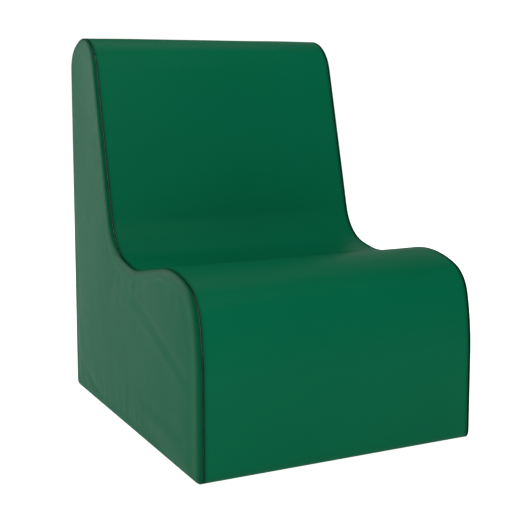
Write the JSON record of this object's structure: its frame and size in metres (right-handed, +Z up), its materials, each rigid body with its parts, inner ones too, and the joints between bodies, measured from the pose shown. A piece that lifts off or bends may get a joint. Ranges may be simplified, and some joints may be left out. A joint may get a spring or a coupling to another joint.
{
  "type": "foam lounge chair",
  "caption": "Low armless child-size foam lounge chair with an S-shaped seat and back in a zipped vinyl cover.",
  "frame": {"origin": "on the floor under the middle of the chair's box", "axes": "+Z up, the chair faces -Y, +X is to the right seen from the front"},
  "size_m": [0.4996, 0.624, 0.68],
  "materials": {
    "green_vinyl": "smooth wipe-clean coated cloth, satin",
    "non_slip_cloth": "matt cloth with small rubbery studs",
    "firm_foam": "open-cell foam, firm",
    "soft_foam": "open-cell foam, soft",
    "back_foam": "open-cell foam, medium",
    "zip_tape": "woven tape",
    "zip_coil": "satin filament",
    "zip_metal": "satin nickel"
  },
  "bodies": {
    "chair": {"base_foam_block": "firm_foam", "seat_foam_pad": "soft_foam", "back_foam_block": "back_foam", "cover_seat_back_strip": "green_vinyl", "cover_rear_panel": "green_vinyl", "cover_rear_skirt": "green_vinyl", "cover_left_panel": "green_vinyl", "cover_right_panel": "green_vinyl", "cover_base_panel": "non_slip_cloth", "zip_tape_upper": "zip_tape", "zip_tape_lower": "zip_tape", "zip_coil_upper": "zip_coil", "zip_coil_lower": "zip_coil", "zip_bottom_stop": "zip_metal", "zip_top_stop_upper": "zip_metal", "zip_top_stop_lower": "zip_metal", "zip_guard": "zip_tape"},
    "zip_slider": {"zip_slider": "zip_metal"},
    "zip_puller": {"zip_puller": "zip_metal"}
  },
  "joints": [
    {"name": "zip_slide", "type": "slide", "parent": "chair", "child": "zip_slider", "axis": [1, 0, 0], "range_m": [0, 0.41]},
    {"name": "puller_hinge", "type": "hinge", "parent": "zip_slider", "child": "zip_puller", "pos_m": [-0.2072, 0.3099, 0.06], "axis": [0, 0, 1], "range_deg": [0, 170]}
  ]
}
